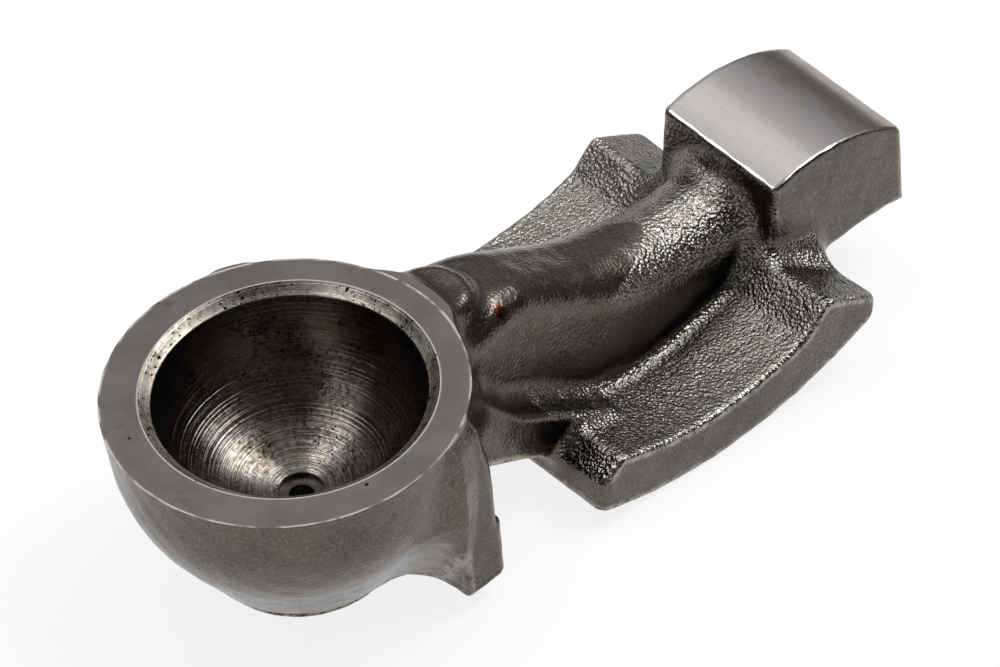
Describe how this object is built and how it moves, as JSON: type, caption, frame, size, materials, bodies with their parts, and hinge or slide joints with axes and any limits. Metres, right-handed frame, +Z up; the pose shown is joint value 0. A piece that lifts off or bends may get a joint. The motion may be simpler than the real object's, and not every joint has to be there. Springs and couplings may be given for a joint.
{
  "type": "rocker arm",
  "caption": "Finger-type rocker arm: a one-piece forging with a ball socket for its pivot, a wide curved cam face and a crowned valve pad.",
  "frame": {"origin": "centre of the ball socket", "axes": "+X along the arm from the socket to the valve pad, +Z up from the table the arm lies on, +Y across the arm"},
  "size_m": [0.0718, 0.0268, 0.0186],
  "materials": {
    "forged_steel": "forged skin with machined and ground working faces"
  },
  "bodies": {
    "root": {"rocker_arm": "forged_steel"}
  },
  "joints": []
}
